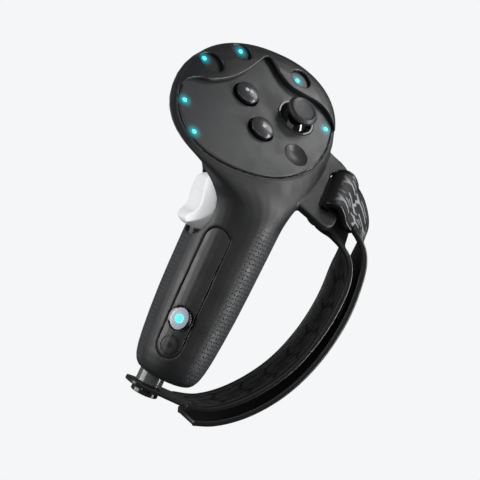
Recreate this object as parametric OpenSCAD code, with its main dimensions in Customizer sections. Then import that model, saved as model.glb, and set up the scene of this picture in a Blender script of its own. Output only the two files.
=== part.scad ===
/* Hand-held motion controller for the right hand, in a grip cover with a knuckle strap.
   +Z runs up the handle, +Y is forwards, +X is to the right, towards the strap.
   The origin is the middle of the grip, on the handle's axis. */

/* [Head] */
// Forward tilt of the thumb face from level
face_tilt = 47.5; // [44:0.5:50]
// Mean radius of the face plate's oval
plate_r = 37.4; // [36.5:0.1:37.4]
// Thickness of the face plate
plate_t = 1.8; // [1.6:0.1:2]
// Thickness of the front visor
visor_t = 2.0; // [1.6:0.1:2.2]

/* [Controls] */
// Radius of the two action buttons
button_r = 5.6; // [5.2:0.1:5.8]
// Radius of the well round an action button
well_r = 6.2; // [6:0.1:6.4]
// Radius of the menu button
menu_r = 5.4; // [5:0.1:5.5]
// Radius of the thumbstick's cap
stick_cap_r = 7.5; // [7:0.1:8]

/* [Handle] */
// Wall of the soft grip cover
cover_wall = 2.0; // [1.8:0.1:2.2]
// Wall of the inner body
body_wall = 1.7; // [1.4:0.1:1.9]
// Radius of the battery cell
cell_r = 7.1; // [6.9:0.05:7.2]
// Length of the battery cell
cell_l = 50.5; // [49:0.1:50.5]

/* [Strap] */
// Width of the knuckle strap
strap_w = 24; // [22:0.5:24]
// Thickness of the strap's inner band
inner_t = 2.8; // [2:0.1:3]
// Thickness of the strap's outer band
outer_t = 3.0; // [2:0.1:3.2]

/* [Hidden] */
$fn = 48;

// Middle of the thumb face
face_c = [-8, 10, 76.5];
// Middle of the face plate's oval, in the face's own plane
oval_c = [-1, -1];
// How far the oval leans along its diagonal
oval_skew = 5;
// Outer oval at the rim of the cover
rim_r = 39.6;
// Height of the cover's rim above the face
rim_z = -0.5;
// Air between the cover and the inner body
shell_gap = 0.3;

// Places of the controls in the face's plane
button_a_at = [1.3, -11.2];
button_b_at = [-8, 4.6];
menu_at = [20, -15.5];
stick_at = [18.2, 5.8];
// Each sensor recess: x, y and radius
RECESSES = [[-27.2, 11, 5.6], [-13.8, 26.6, 5], [17.6, 28.4, 5]];
// Small tracking lights on the face and in the recesses: x, y and height
LEDS = [[-36.4, -16, 0], [-29.8, -30.6, 0], [34, 8.2, 0],
        [-30.8, 12.2, 0.75], [-13.8, 27.4, 0.75], [16.6, 27.8, 0.75]];

// Height of the stick's pivot in the face frame
pivot_z = -7;
// Radius of the stick's dome
dome_r = 9;
// Main board: middle and radius in the face's plane
board_c = [5, -7];
board_r = 23.5;
board_z = -10.4;
board_t = 1.2;

// Hinge of the grip trigger: x and z
grip_hinge = [-10.5, 40.5];
// Hinge of the index trigger: y and z
index_hinge = [22.5, 70.5];
// Middle of the index trigger across the head
index_x = -6.3;
// Radius of both trigger pins
pin_r = 1.0;
// Radial running clearance of a pin or shaft
run_gap = 0.05;

// Place of the base plug and stud
stud_at = [-4, 2];
// Direction in which the inlay panel faces
inlay_turn = 232;
// Middle of the inlay panel on the handle's surface
inlay_at = [-10.3, -16.4];

// Outline of the handle and head, from the bottom up. Each row is one cross-section:
// rear y, rear z, front y, front z, half width, middle x, diagonal lean.
SECTIONS = [
    [-8, -47.5, 8, -47.5, 7, 0, 0],
    [-13.5, -46.2, 13.5, -46.2, 11.5, 0, 0],
    [-16.8, -42, 16.8, -42, 14.4, 0, 0],
    [-18.6, -32, 18.6, -32, 16.2, 0, 0],
    [-19.6, -12, 20, -12, 17.8, 0, 0],
    [-20, 8, 20.2, 8, 18.5, 0, 0],
    [-20, 24, 20.3, 28, 19, 0, 0],
    [-20.2, 30, 20.8, 42, 20, -0.6, 0],
    [-20.2, 34.5, 23.5, 56, 23.4, -2.2, 0],
    [-20, 38, 28, 69, 29, -4.2, 1],
    [-19.6, 40.8, 33, 80.5, 34.8, -6.2, 2.5],
    [-18.9, 43, 37, 90, 39, -8, 4],
    [-18.2, 44.6, 39, 97.5, 41, -9, 5],
    [-17.4, 45.6, 38.6, 102.5, 40.8, -9, 5],
    face_section(rim_z),
    face_section(3)
];
// Index of the section at the cover's rim
RIM = 14;

function face_to_part(p) = face_c + [p[0], p[1] * cos(face_tilt) - p[2] * sin(face_tilt),
                                     p[1] * sin(face_tilt) + p[2] * cos(face_tilt)];
function face_section(z) = let (
        rear = face_to_part([0, oval_c[1] - rim_r, z]),
        front = face_to_part([0, oval_c[1] + rim_r, z]))
    [rear[1], rear[2], front[1], front[2], rim_r, face_c[0] + oval_c[0], oval_skew];

// A smooth curve through b and c, with a and d as the neighbours
function curve(a, b, c, d, t) =
    0.5 * (2 * b + (c - a) * t + (2 * a - 5 * b + 4 * c - d) * t * t + (3 * b - a - 3 * c + d) * t * t * t);
function along(rows, u) = let (last = len(rows) - 1, i = min(floor(u), last - 1), t = u - i)
    curve(rows[max(i - 1, 0)], rows[i], rows[i + 1], rows[min(i + 2, last)], t);
function round_loop(points, steps = 5) = let (n = len(points))
    [for (i = [0:n - 1]) for (s = [0:steps - 1])
        curve(points[(i + n - 1) % n], points[i], points[(i + 1) % n], points[(i + 2) % n], s / steps)];

// Slightly squared circle
squareness = 2.2;
function squared(v, e = squareness) = sign(v) * pow(abs(v), 2 / e);
function oval(r, sides = 72) =
    [for (i = [0:sides - 1]) let (t = 360 * i / sides, x = squared(cos(t)), y = squared(sin(t)))
        oval_c + [x * r + y * oval_skew, y * r + x * oval_skew]];
function squared_oval(c, w, h, e = 2.3, sides = 48) =
    [for (i = [0:sides - 1]) let (t = 360 * i / sides)
        c + [w * squared(cos(t), e), h * squared(sin(t), e)]];

function ring(s, inset, sides) = let (
        middle = [s[5], (s[0] + s[2]) / 2, (s[1] + s[3]) / 2],
        half = [0, (s[2] - s[0]) / 2, (s[3] - s[1]) / 2],
        depth = norm(half))
    [for (i = [0:sides - 1]) let (t = 360 * i / sides, x = squared(cos(t)), y = squared(sin(t)))
        middle + [x * (s[4] - inset) + y * s[6], 0, 0]
        + half / depth * (y * (depth - inset) + x * s[6])];

// Closed skin over a list of rings, each with the same number of points
module skin(rings) {
    n = len(rings[0]);
    last = len(rings) - 1;
    sides = [for (i = [0:last - 1]) for (j = [0:n - 1]) let (k = (j + 1) % n)
        each [[i * n + j, (i + 1) * n + k, i * n + k], [i * n + j, (i + 1) * n + j, (i + 1) * n + k]]];
    ends = [[for (j = [0:n - 1]) j], [for (j = [0:n - 1]) last * n + n - 1 - j]];
    polyhedron(points = [for (r = rings) each r], faces = concat(sides, ends));
}

// The outline of handle and head, moved in by inset, from section low to section high
module hull_form(inset, low, high, sides = 40) {
    steps = round((high - low) * 2);
    skin([for (i = [0:steps]) ring(along(SECTIONS, low + (high - low) * i / steps), inset, sides)]);
}

module in_face() {
    translate(face_c) rotate([face_tilt, 0, 0]) children();
}
module at_face(p, z) {
    in_face() translate([p[0], p[1], z]) children();
}
// Upright outline along Y: children are drawn in x and z
module along_y(low, high) {
    translate([0, high, 0]) rotate([90, 0, 0]) linear_extrude(high - low) children();
}
// Upright outline along X: children are drawn in y and z
module along_x(low, high) {
    translate([low, 0, 0]) rotate([90, 0, 90]) linear_extrude(high - low) children();
}
// Children face the inlay panel's direction along +Z
module at_inlay(z) {
    translate([inlay_at[0], inlay_at[1], z]) rotate([0, 90, inlay_turn]) children();
}

// A free-form shell is one skin of flat facets at its own size
module one_skin() {
    resize([0, 0, 0]) children();
}

// Round wire along a list of points
module wire(path, r, sides = 8) {
    last = len(path) - 1;
    skin([for (i = [0:last]) let (
            ahead = path[min(i + 1, last)] - path[max(i - 1, 0)],
            t = ahead / norm(ahead),
            side = cross(t, abs(t[2]) > 0.9 ? [1, 0, 0] : [0, 0, 1]),
            u = side / norm(side),
            v = cross(t, u))
        [for (j = [0:sides - 1]) path[i] + r * (cos(360 * j / sides) * u + sin(360 * j / sides) * v)]]);
}

/* Face and cover */

// Visor's inner edge: two lobes that meet in a cusp, in the face's plane
VISOR_EDGE = [[-50, -11.5], [-41, -11.5], [-37.3, -5.2], [-32, -1.2], [-26, 0.8], [-17, 7.6], [-9, 17.6],
              [-4, 26.4], [-0.5, 31.6], [3, 29.4], [7.2, 24.2], [13, 20.4], [20.5, 19.6], [28.5, 19.4],
              [34, 16.4],
              [37.8, 10.8], [42, 4], [50, 3]];

module visor_outline(r) {
    edge = [for (i = [0:4 * (len(VISOR_EDGE) - 1)]) along(VISOR_EDGE, i / 4)];
    intersection() {
        polygon(oval(r));
        polygon(concat(edge, [[50, 60], [-50, 60]]));
    }
}

module visor() {
    gap = 0.8;
    color("#303234") in_face() difference() {
        union() {
            translate([0, 0, gap]) linear_extrude(visor_t) visor_outline(rim_r - 0.2);
            translate([0, 0, rim_z + 0.05]) linear_extrude(gap - rim_z) difference() {
                visor_outline(rim_r - 0.2);
                polygon(oval(plate_r + 0.7));
            }
        }
        for (s = RECESSES)
            translate([s[0], s[1], gap - 0.02]) cylinder(r = s[2], h = visor_t + 1);
    }
}

module face_plate() {
    color("#3a3c3f") in_face() translate([0, 0, -plate_t]) difference() {
        linear_extrude(plate_t) polygon(oval(plate_r));
        translate([0, 0, -1]) {
            for (p = [button_a_at, button_b_at])
                translate([p[0], p[1], 0]) cylinder(r = well_r, h = plate_t + 2);
            translate([menu_at[0], menu_at[1], 0]) cylinder(r = menu_r + 0.2, h = plate_t + 2);
            translate([stick_at[0], stick_at[1], 0]) cylinder(r = 9.1, h = plate_t + 2);
        }
    }
}

module sensor_windows() {
    color("#101114") in_face() translate([0, 0, 0.03]) for (s = RECESSES)
        linear_extrude(0.7) intersection() {
            translate([s[0], s[1]]) circle(r = s[2] - 0.2);
            polygon(oval(plate_r + 0.5));
        }
}

module tracking_leds() {
    led_r = 0.9;
    color("#30e8f0") in_face() for (p = LEDS)
        translate([p[0], p[1], p[2] + 0.02]) cylinder(r1 = led_r, r2 = led_r * 0.6, h = 0.45);
}

// Flat bracket beside the head that carries the strap
WING = [[26, 2], [38, 3.5], [43.5, 1.2], [48.5, -1], [52, -5], [52.7, -11], [49.2, -24], [46.8, -35.5],
        [44.6, -40], [40.5, -41.5], [33, -39], [22, -34], [17, -26]];
// Top and bottom of the wing in the face frame
wing_top = -5.5;
wing_low = -9;
// Middle and turn of the strap's slot in the wing
slot_c = [42.6, -20.5];
slot_turn = -14;
slot_w = 4.4;
slot_l = 25;

module wing() {
    in_face() translate([0, 0, wing_low]) difference() {
        linear_extrude(wing_top - wing_low) polygon(round_loop(WING, 3));
        translate([slot_c[0], slot_c[1], -1]) rotate(slot_turn) translate([-slot_w / 2, -slot_l / 2, 0])
            cube([slot_w, slot_l, 10]);
    }
}

module grip_opening(extra = 0) {
    along_x(-40, -4) polygon(squared_oval([-1, 28.6], 11.6 + extra, 14.1 + extra));
}
module index_opening() {
    along_y(14, 60) polygon(squared_oval([index_x, 66.2], 9.2, 17.8, 6));
}

module inlay_outline(extra) {
    // x runs down the handle, from the panel's middle
    half_l = 24;
    half_w = 5.6 + extra;
    for (x = [-half_l, half_l])
        translate([x, 0]) circle(r = half_w);
    translate([-half_l, -half_w]) square([2 * half_l, 2 * half_w]);
}
// Height of the inlay panel's middle, and of the window and mark on it
inlay_z = -7.5;
window_z = -19.6;
mark_z = -31.5;
window_r = 5.2;

module grip_cover() {
    color("#1d1e20") one_skin() difference() {
        union() {
            hull_form(0, 0, RIM);
            wing();
        }
        hull_form(cover_wall, 1.5, RIM + 1);
        grip_opening();
        index_opening();
        translate([stud_at[0], stud_at[1], -49]) cylinder(r = 6.1, h = 6);
        intersection() {
            at_inlay(inlay_z) translate([0, 0, -4]) linear_extrude(12) inlay_outline(0.35);
            difference() {
                hull_form(-1, 2, 7);
                hull_form(1.2, 2, 7);
            }
        }
        at_inlay(window_z) translate([0, 0, -4]) cylinder(r = window_r + 0.1, h = 12);
    }
}

module handle_inlay() {
    color("#232427") one_skin() difference() {
        intersection() {
            at_inlay(inlay_z) translate([0, 0, -4]) linear_extrude(12) inlay_outline(0);
            difference() {
                hull_form(0.15, 2, 7);
                hull_form(1.15, 2, 7);
            }
        }
        at_inlay(window_z) translate([0, 0, -4]) cylinder(r = window_r + 0.1, h = 12);
    }
}

module hand_mark() {
    // A plain ring round a small dot: a neutral mark
    color("#4a4c50") one_skin() intersection() {
        at_inlay(mark_z) translate([0, 0, -4]) linear_extrude(12) {
            difference() {
                circle(r = 4.4);
                circle(r = 3.7);
            }
            circle(r = 1.1);
        }
        difference() {
            hull_form(-0.15, 2, 6);
            hull_form(0.12, 2, 6);
        }
    }
}

module status_window() {
    color("#b8bcc2") at_inlay(window_z) difference() {
        translate([0, 0, -2]) union() {
            cylinder(r = window_r, h = 2.2);
            translate([0, 0, 2.2]) cylinder(r1 = window_r, r2 = window_r - 0.7, h = 0.6);
        }
        translate([0, 0, -0.4]) cylinder(r = 1.55, h = 2);
    }
}

module status_led() {
    color("#30e8f0") at_inlay(window_z) translate([0, 0, -0.38]) cylinder(r = 1.5, h = 1.5);
}

/* Inner body */

module body_shell() {
    outer = cover_wall + shell_gap;
    difference() {
        hull_form(outer, 1.75, RIM + 1);
        hull_form(outer + body_wall, 2, RIM + 1);
        at_face([0, 0], -plate_t - 0.1) translate([-60, -60, 0]) cube([120, 120, 20]);
        grip_opening(0.3);
        index_opening();
        at_inlay(window_z) translate([0, 0, -4]) cylinder(r = window_r + 0.2, h = 12);
    }
}
// The two halves meet in this upright plane
split_x = 2.5;

module body_shell_left() {
    color("#e9eaec") one_skin() intersection() {
        body_shell();
        translate([split_x - 100 - 0.02, -60, -60]) cube([100, 130, 190]);
    }
}
module body_shell_right() {
    color("#e9eaec") one_skin() intersection() {
        body_shell();
        translate([split_x + 0.02, -60, -60]) cube([100, 130, 190]);
    }
}

// Screws stand on a circle in the board, clear of the stick
SCREW_TURNS = [170, 235, 312];
module at_screws() {
    in_face() translate([board_c[0], board_c[1], 0]) for (a = SCREW_TURNS)
        rotate(a) translate([board_r - 2.6, 0, 0]) children();
}
module stick_gap(size) {
    at_face(stick_at, board_z - 4) translate([-size / 2, -size / 2, 0]) cube([size, size, 8]);
}

module board_frame() {
    color("#d5d7da") difference() {
        at_face(board_c, board_z - 1.7) difference() {
            cylinder(r = board_r - 0.3, h = 1.6);
            translate([0, 0, -1]) cylinder(r = board_r - 5, h = 4);
        }
        // Open towards the front, where the index trigger's arm swings
        at_face([board_c[0] - 30, 4], board_z - 3) cube([60, 30, 5]);
        stick_gap(15.8);
        at_screws() translate([0, 0, board_z - 3]) cylinder(r = 0.95, h = 4);
    }
}

module main_board() {
    color("#17633d") difference() {
        at_face(board_c, board_z) cylinder(r = board_r, h = board_t);
        stick_gap(15.8);
        at_screws() translate([0, 0, board_z - 1]) cylinder(r = 1.1, h = 4);
    }
}

module board_chips() {
    // Processor, radio, motion sensor: x, y, width, depth
    chips = [[-10, -14.5, 6, 6], [2, -24, 6, 5], [10, -19, 4, 4]];
    color("#16181a") in_face() for (c = chips)
        translate([c[0] - c[2] / 2, c[1] - c[3] / 2, board_z + board_t + 0.02]) cube([c[2], c[3], 1]);
}

module tact_switches() {
    for (p = [button_a_at, button_b_at, menu_at])
        at_face(p, board_z + board_t + 0.02) {
            color("#c9ccd0") translate([-2.6, -2.6, 0]) cube([5.2, 5.2, 3]);
            color("#202224") translate([0, 0, 3]) cylinder(r = 1.5, h = 0.6);
        }
}

module board_screws() {
    color("#9a9da2") at_screws() {
        translate([0, 0, board_z + board_t + 0.02]) difference() {
            cylinder(r = 1.8, h = 1.1);
            translate([0, 0, 0.5]) cylinder(r = 0.8, h = 1, $fn = 6);
        }
        translate([0, 0, board_z - 1.6]) cylinder(r = 0.9, h = board_t + 1.7);
    }
}

module led_flex() {
    color("#b9772f") in_face() translate([0, 0, -4.6]) linear_extrude(2.3) difference() {
        polygon(oval(33.4));
        polygon(oval(33));
        translate(menu_at) circle(r = menu_r + 2.5);
    }
}

module haptic_motor() {
    color("#a7abb0") at_face([-2, -10], board_z - 6.2) {
        cylinder(r = 5, h = 3.4);
        translate([0, 0, 3.4]) cylinder(r = 3.6, h = 0.5);
    }
}

/* Thumbstick */

module stick_socket_ring() {
    color("#3d3f42") at_face(stick_at, -plate_t) rotate_extrude()
        polygon([[7.9, 0], [9, 0], [9, plate_t + 0.3], [8.3, plate_t + 0.3], [7.9, plate_t - 0.1]]);
}

module stick_base() {
    size = 14.6;
    depth = 12.4;
    color("#8d9095") at_face(stick_at, 0) difference() {
        union() {
            translate([-size / 2, -depth / 2, -11.9]) difference() {
                cube([size, depth, 1.8]);
                translate([1.2, 1.2, 1]) cube([size - 2.4, depth - 2.4, 4]);
            }
            for (side = [-1, 1])
                translate([side * 6.6 - 0.7, -1.9, -11.4]) cube([1.4, 3.8, 5.8]);
        }
        translate([-10, 0, pivot_z]) rotate([0, 90, 0]) cylinder(r = 0.8 + run_gap, h = 20);
    }
}

module stick_yoke() {
    color("#5d6064") at_face(stick_at, pivot_z) difference() {
        union() {
            translate([0, 0, -1.2]) difference() {
                cylinder(r = 5.6, h = 2.4);
                translate([0, 0, -1]) cylinder(r = 4.3, h = 5);
            }
            for (turn = [0, 180])
                rotate([0, 0, turn]) translate([5.3, 0, 0]) rotate([0, 90, 0]) cylinder(r = 0.8, h = 1.9);
        }
        translate([0, 10, 0]) rotate([90, 0, 0]) cylinder(r = 0.7 + run_gap, h = 20);
    }
}

module stick_hub() {
    color("#45484c") at_face(stick_at, pivot_z) difference() {
        union() {
            translate([0, 0, -1.6]) cylinder(r = 3, h = 3.2);
            translate([0, 5.4, 0]) rotate([90, 0, 0]) cylinder(r = 0.7, h = 10.8);
        }
        translate([0, 0, -4]) cylinder(r = 1.5 + run_gap, h = 8);
    }
}

module stick_shaft() {
    color("#c3c6ca") at_face(stick_at, pivot_z - 3) cylinder(r = 1.5, h = 14.2);
}

module stick_dome() {
    color("#0c0c0e") at_face(stick_at, pivot_z) difference() {
        sphere(r = dome_r);
        sphere(r = dome_r - 0.8);
        translate([-15, -15, -30]) cube([30, 30, 32.5]);
        cylinder(r = 1.55, h = 20);
    }
}

module stick_cap() {
    r = stick_cap_r;
    color("#4b4d50") at_face(stick_at, 0) difference() {
        rotate_extrude() polygon([[0, 2.05], [2.8, 2.05], [3.2, 4.2], [r - 0.9, 4.2], [r, 4.9], [r, 5.8],
            [r - 0.9, 7], [r - 1.6, 7.2], [r - 2.3, 6.6], [2.6, 6.2], [0, 6.1]]);
        translate([0, 0, 2]) cylinder(r = 1.55, h = 2.25);
    }
}

/* Buttons */

module action_button(p) {
    r = button_r;
    at_face(p, 0) {
        rotate_extrude() polygon([[0, -4.2], [1.6, -4.2], [1.6, -3], [well_r + 0.9, -3],
                                  [well_r + 0.9, -2.1],
            [r, -2.1], [r, 1.6], [r - 0.3, 2], [r * 0.75, 2.55], [r * 0.4, 2.9], [0, 3]]);
    }
}
module button_a() {
    color("#6d6f73") action_button(button_a_at);
}
module button_b() {
    color("#6d6f73") action_button(button_b_at);
}

module menu_button() {
    r = menu_r;
    color("#3a3c3f") at_face(menu_at, 0) rotate_extrude()
        polygon([[0, -4.7], [1.5, -4.7], [1.5, -3], [r + 0.9, -3], [r + 0.9, -2.1], [r, -2.1], [r, -0.1],
            [r * 0.86, -0.55], [r * 0.6, -1.12], [r * 0.3, -1.42], [0, -1.5]]);
}

/* Triggers */

// Side profile of the grip trigger: x and z, finger face to the left
GRIP_PROFILE = [[-18.5, 42.4], [-22.3, 39.6], [-22, 34.5], [-20.9, 29], [-21.2, 25], [-23, 21.8],
                [-23.4, 19.6],
                [-21.5, 17.9], [-17, 17.6], [-13, 19.5], [-11.6, 26], [-11.4, 34], [-12, 41]];
// Plan of the grip trigger: x and y
GRIP_PLAN = [[-9, -11], [-14.5, -12], [-19.5, -9.8], [-23.4, -5.5], [-25.4, 0], [-24.6, 6.5],
             [-20, 10.4], [-9, 10.6]];

module grip_trigger() {
    color("#f2f3f4") difference() {
        union() {
            intersection() {
                along_y(-14, 14) polygon(round_loop(GRIP_PROFILE));
                along_x(-30, -8) polygon(squared_oval([-1, 29.5], 11, 12.3));
                translate([0, 0, 10]) linear_extrude(40) polygon(round_loop(GRIP_PLAN));
            }
            along_y(-5, 5) {
                translate(grip_hinge) circle(r = 2.4);
                translate([-15, grip_hinge[1] - 3.8]) square([5, 4]);
            }
        }
        // Room for the frame's cheeks
        for (low = [-12, 5.2])
            along_y(low, low + 6.8) translate(grip_hinge) circle(r = 3.9);
        along_y(-20, 20) translate(grip_hinge) circle(r = pin_r + run_gap);
    }
}

module grip_trigger_frame() {
    color("#b4b7bb") difference() {
        union() {
            for (y = [-7, 5.5])
                translate([-13, y, 38.4]) cube([6.4, 1.5, 4.6]);
            translate([-7.9, -7, 38.4]) cube([1.3, 14, 4.6]);
        }
        translate([grip_hinge[0], 20, grip_hinge[1]]) rotate([90, 0, 0]) cylinder(r = pin_r, h = 40);
    }
}

module grip_trigger_pin() {
    color("#c3c6ca") translate([grip_hinge[0], 10, grip_hinge[1]]) rotate([90, 0, 0])
        cylinder(r = pin_r, h = 20);
}

// Coil points round the Z axis, with two short legs
function coil(r, rise, turns, steps = 14) =
    [for (i = [0:turns * steps])
        [r * cos(360 * i / steps), r * sin(360 * i / steps), rise * i / (turns * steps)]];

module grip_trigger_spring() {
    color("#d0d2d6") translate([grip_hinge[0], 9.7, grip_hinge[1]]) rotate([90, 0, 0])
        wire(coil(1.6, 2.2, 3), 0.25, 6);
}

// Side profile of the index trigger: y and z, finger face to the front
INDEX_PROFILE = [[33.4, 80.8], [37, 77.5], [36.6, 71], [36.6, 64], [39.2, 57.5], [41, 53.6], [38.6, 51.4],
                 [32.5, 52.6], [27, 57], [23, 63], [20, 67.8], [20.4, 71.3], [24.5, 75.4], [30, 79.4]];

module index_trigger() {
    color("#f2f3f4") difference() {
        along_x(index_x - 7.8, index_x + 7.8) polygon(round_loop(INDEX_PROFILE));
        // Room for the frame's cheeks
        for (low = [-9, 7])
            along_x(index_x + low, index_x + low + 2) translate(index_hinge) circle(r = 4);
        along_x(index_x - 20, index_x + 20) translate(index_hinge) circle(r = pin_r + run_gap);
    }
}

module index_trigger_frame() {
    // Two cheeks beside the trigger
    color("#b4b7bb") difference() {
        for (side = [-1, 1])
            translate([index_x + side * 7.9 - 0.6, index_hinge[0] - 2, index_hinge[1] - 2.6])
                cube([1.2, 4, 4.3]);
        translate([index_x - 20, index_hinge[0], index_hinge[1]]) rotate([0, 90, 0])
            cylinder(r = pin_r, h = 40);
    }
}

module index_trigger_pin() {
    color("#c3c6ca") along_x(index_x - 10.9, index_x + 8.9) translate(index_hinge) circle(r = pin_r);
}

module index_trigger_spring() {
    color("#d0d2d6") translate([index_x - 10.7, index_hinge[0], index_hinge[1]]) rotate([0, 90, 0])
        wire(coil(1.4, 1.7, 3), 0.25, 6);
}

/* Battery */

// Bottom of the battery cell
cell_z = -38;

module battery_cell() {
    color("#26282b") translate([0.5, 0, cell_z]) {
        cylinder(r = cell_r, h = cell_l - 1.2);
        translate([0, 0, cell_l - 1.2]) cylinder(r = 2.7, h = 1.2);
    }
}

module battery_contact() {
    color("#d9bd72") translate([-4.5, -5, cell_z + cell_l + 0.02]) {
        cube([10, 10, 0.4]);
        cube([10, 0.4, 3]);
    }
}

module battery_spring() {
    turns = 3;
    steps = 14;
    path = [for (i = [0:turns * steps]) let (f = i / (turns * steps), r = 5.4 - 2.6 * f)
        [r * cos(360 * i / steps), r * sin(360 * i / steps), 3 * f]];
    color("#d0d2d6") translate([0.5, 0, cell_z - 3.4]) wire(path, 0.35, 6);
}

/* Base and strap */

module base_plug() {
    color("#55585c") translate([stud_at[0], stud_at[1], 0]) difference() {
        rotate_extrude() polygon([[0, -52.3], [5.4, -52.3], [6, -51.8], [6, -45.3], [0, -45.3]]);
        translate([0, 0, -53]) cylinder(r = 1.55, h = 6);
    }
}

module strap_stud() {
    color("#2a2b2e") translate([stud_at[0], stud_at[1], 0]) rotate_extrude()
        polygon([[0, -57.6], [3.4, -57.4], [5.6, -57], [6.2, -56.6], [6.2, -55.2], [2.6, -55.2],
                 [2.6, -52.35],
            [1.5, -52.35], [1.5, -47.4], [0, -47.4]]);
}

// Top of the strap's tab, just under the base plug
tab_top = -52.4;
tab_t = 1.8;
// Where the tab ends and the bands begin
tab_end = 12;

module strap_tab() {
    color("#161718") translate([0, 0, tab_top - tab_t]) difference() {
        linear_extrude(tab_t) polygon(round_loop([[-13.6, 2], [-12, 8.5], [-4, 11], [tab_end - 3, 11.6],
            [tab_end - 0.4, 11.8], [tab_end, 10], [tab_end, -10], [tab_end - 0.4, -11.8],
            [tab_end - 3, -11.6],
            [-4, -8], [-12, -5]]));
        translate([stud_at[0], stud_at[1], -1]) cylinder(r = 2.6 + run_gap, h = 5);
    }
}

// A place beside the wing's slot: p outwards across the slot, z in the face frame
function by_slot(p, z) = face_to_part([slot_c[0] + p * cos(slot_turn), slot_c[1] + p * sin(slot_turn), z]);

// Middle line of the strap's inner band, from the tab up to the slot
INNER_LINE = [[tab_end + 0.5, 0, -53.3], [22, 0, -50.6], [32, 0, -43.6], [41.5, 0, -33],
              [49, 0, -20.5], [54, 0, -6], [56.4, 0, 8.5], [56.4, 0, 22], [53.8, 0.5, 33.5],
              [48, 2.4, 42.5], [41, 5.6, 48.2], by_slot(0, -15.5), by_slot(0, -9.5), by_slot(0, -4)];
// The outer band folds over the slot's outer bar and comes back down outside the inner band
OUTER_LINE = [by_slot(0, -3.7), by_slot(0.2, -2.9), by_slot(1.9, -1.2), by_slot(4.8, -0.8),
              by_slot(8, -2.6), by_slot(11.2, -5.6), [52, 1.2, 52.6], [57.8, 0.4, 45], [61, 0, 35.4],
              [62.4, 0, 22], [62.4, 0, 9], [60.6, 0, -5], [57, 0, -18], [51.5, 0, -30],
              [44.2, 0, -40.6], [35.4, 0, -49.4], [26, 0, -55.6], [17.5, 0, -58.6]];
// Stations of each line between which the band turns from lying across Y to lying along the slot
inner_turn = [6.8, 10];
outer_turn = [10.5, 5];

function eased(v) = let (c = max(0, min(1, v))) c * c * (3 - 2 * c);
function unit(v) = v / norm(v);
// Direction of the slot's length in the part's frame, pointing forwards
slot_dir = unit(face_to_part([-sin(slot_turn), cos(slot_turn), 0]) - face_c);

function band_section(line, u, turn, t, w) = let (
        p = along(line, u),
        last = len(line) - 1,
        tangent = unit(along(line, min(u + 0.05, last)) - along(line, max(u - 0.05, 0))),
        share = eased((u - turn[0]) / (turn[1] - turn[0])),
        raw = (1 - share) * [0, 1, 0] + share * slot_dir,
        across = unit(raw - tangent * (raw * tangent)),
        out = cross(tangent, across))
    [p - across * w / 2 - out * t / 2, p + across * w / 2 - out * t / 2,
     p + across * w / 2 + out * t / 2, p - across * w / 2 + out * t / 2];

module band(line, turn, t, w) {
    steps = 3 * (len(line) - 1);
    skin([for (i = [0:steps]) band_section(line, i / 3, turn, t, w)]);
}

module strap_inner_band() {
    color("#26272a") band(INNER_LINE, inner_turn, inner_t, strap_w);
}
module strap_outer_band() {
    color("#161719") band(OUTER_LINE, outer_turn, outer_t, strap_w);
}
module strap_lock_tab() {
    color("#0f1011") translate([58.85, -10, 8]) cube([1, 20, 8]);
}

grip_cover();
visor();
face_plate();
sensor_windows();
tracking_leds();
handle_inlay();
hand_mark();
status_window();
status_led();
body_shell_left();
body_shell_right();
board_frame();
main_board();
board_chips();
tact_switches();
board_screws();
led_flex();
haptic_motor();
stick_socket_ring();
stick_base();
stick_yoke();
stick_hub();
stick_shaft();
stick_dome();
stick_cap();
button_a();
button_b();
menu_button();
grip_trigger();
grip_trigger_frame();
grip_trigger_pin();
grip_trigger_spring();
index_trigger();
index_trigger_frame();
index_trigger_pin();
index_trigger_spring();
battery_cell();
battery_contact();
battery_spring();
base_plug();
strap_stud();
strap_tab();
strap_inner_band();
strap_outer_band();
strap_lock_tab();
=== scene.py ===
"""Looks of the motion controller: finer skins over the CAD frame, materials, light and camera."""

import math

import bpy
import numpy as np
from mathutils import Matrix, Vector


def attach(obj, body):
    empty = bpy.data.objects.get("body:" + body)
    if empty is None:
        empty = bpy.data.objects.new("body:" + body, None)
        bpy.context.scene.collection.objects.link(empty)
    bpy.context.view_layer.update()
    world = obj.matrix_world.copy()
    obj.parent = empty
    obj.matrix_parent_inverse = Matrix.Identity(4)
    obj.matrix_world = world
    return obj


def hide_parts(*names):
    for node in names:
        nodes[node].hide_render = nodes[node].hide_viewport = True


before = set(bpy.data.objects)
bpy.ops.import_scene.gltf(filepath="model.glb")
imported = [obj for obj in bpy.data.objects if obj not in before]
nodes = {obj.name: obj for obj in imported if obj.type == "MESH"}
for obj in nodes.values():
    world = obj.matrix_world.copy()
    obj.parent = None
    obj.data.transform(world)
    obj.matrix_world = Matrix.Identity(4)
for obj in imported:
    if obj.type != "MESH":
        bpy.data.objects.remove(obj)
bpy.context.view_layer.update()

# ---------------------------------------------------------------- sizes, shared with the CAD, in mm
MM = 0.001
FACE_TILT = math.radians(47.5)
FACE_C = np.array([-8, 10, 76.5])
BUTTON_A_AT = (1.3, -11.2)
BUTTON_B_AT = (-8, 4.6)
MENU_AT = (20, -15.5)
STICK_AT = (18.2, 5.8)
PIVOT_Z = -7
DOME_R = 9
BUTTON_R, WELL_R, MENU_R, STICK_R = 5.6, 6.2, 5.4, 7.5
SLOT_C = np.array([42.6, -20.5])
SLOT_TURN = math.radians(-14)
TAB_END = 12
STRAP_W = 24
INNER_T, OUTER_T = 2.8, 3.0
INLAY_TURN = math.radians(232)

FACE = Matrix.Translation(Vector(FACE_C * MM)) @ Matrix.Rotation(FACE_TILT, 4, "X")
FACE_ROT = np.array(FACE.to_3x3())

# The rim of the cover round the face: a leaning, slightly squared oval
RIM_R, OVAL_C, SKEW, SQUARENESS = 39.6, (-1, -1), 5, 2.2
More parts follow.
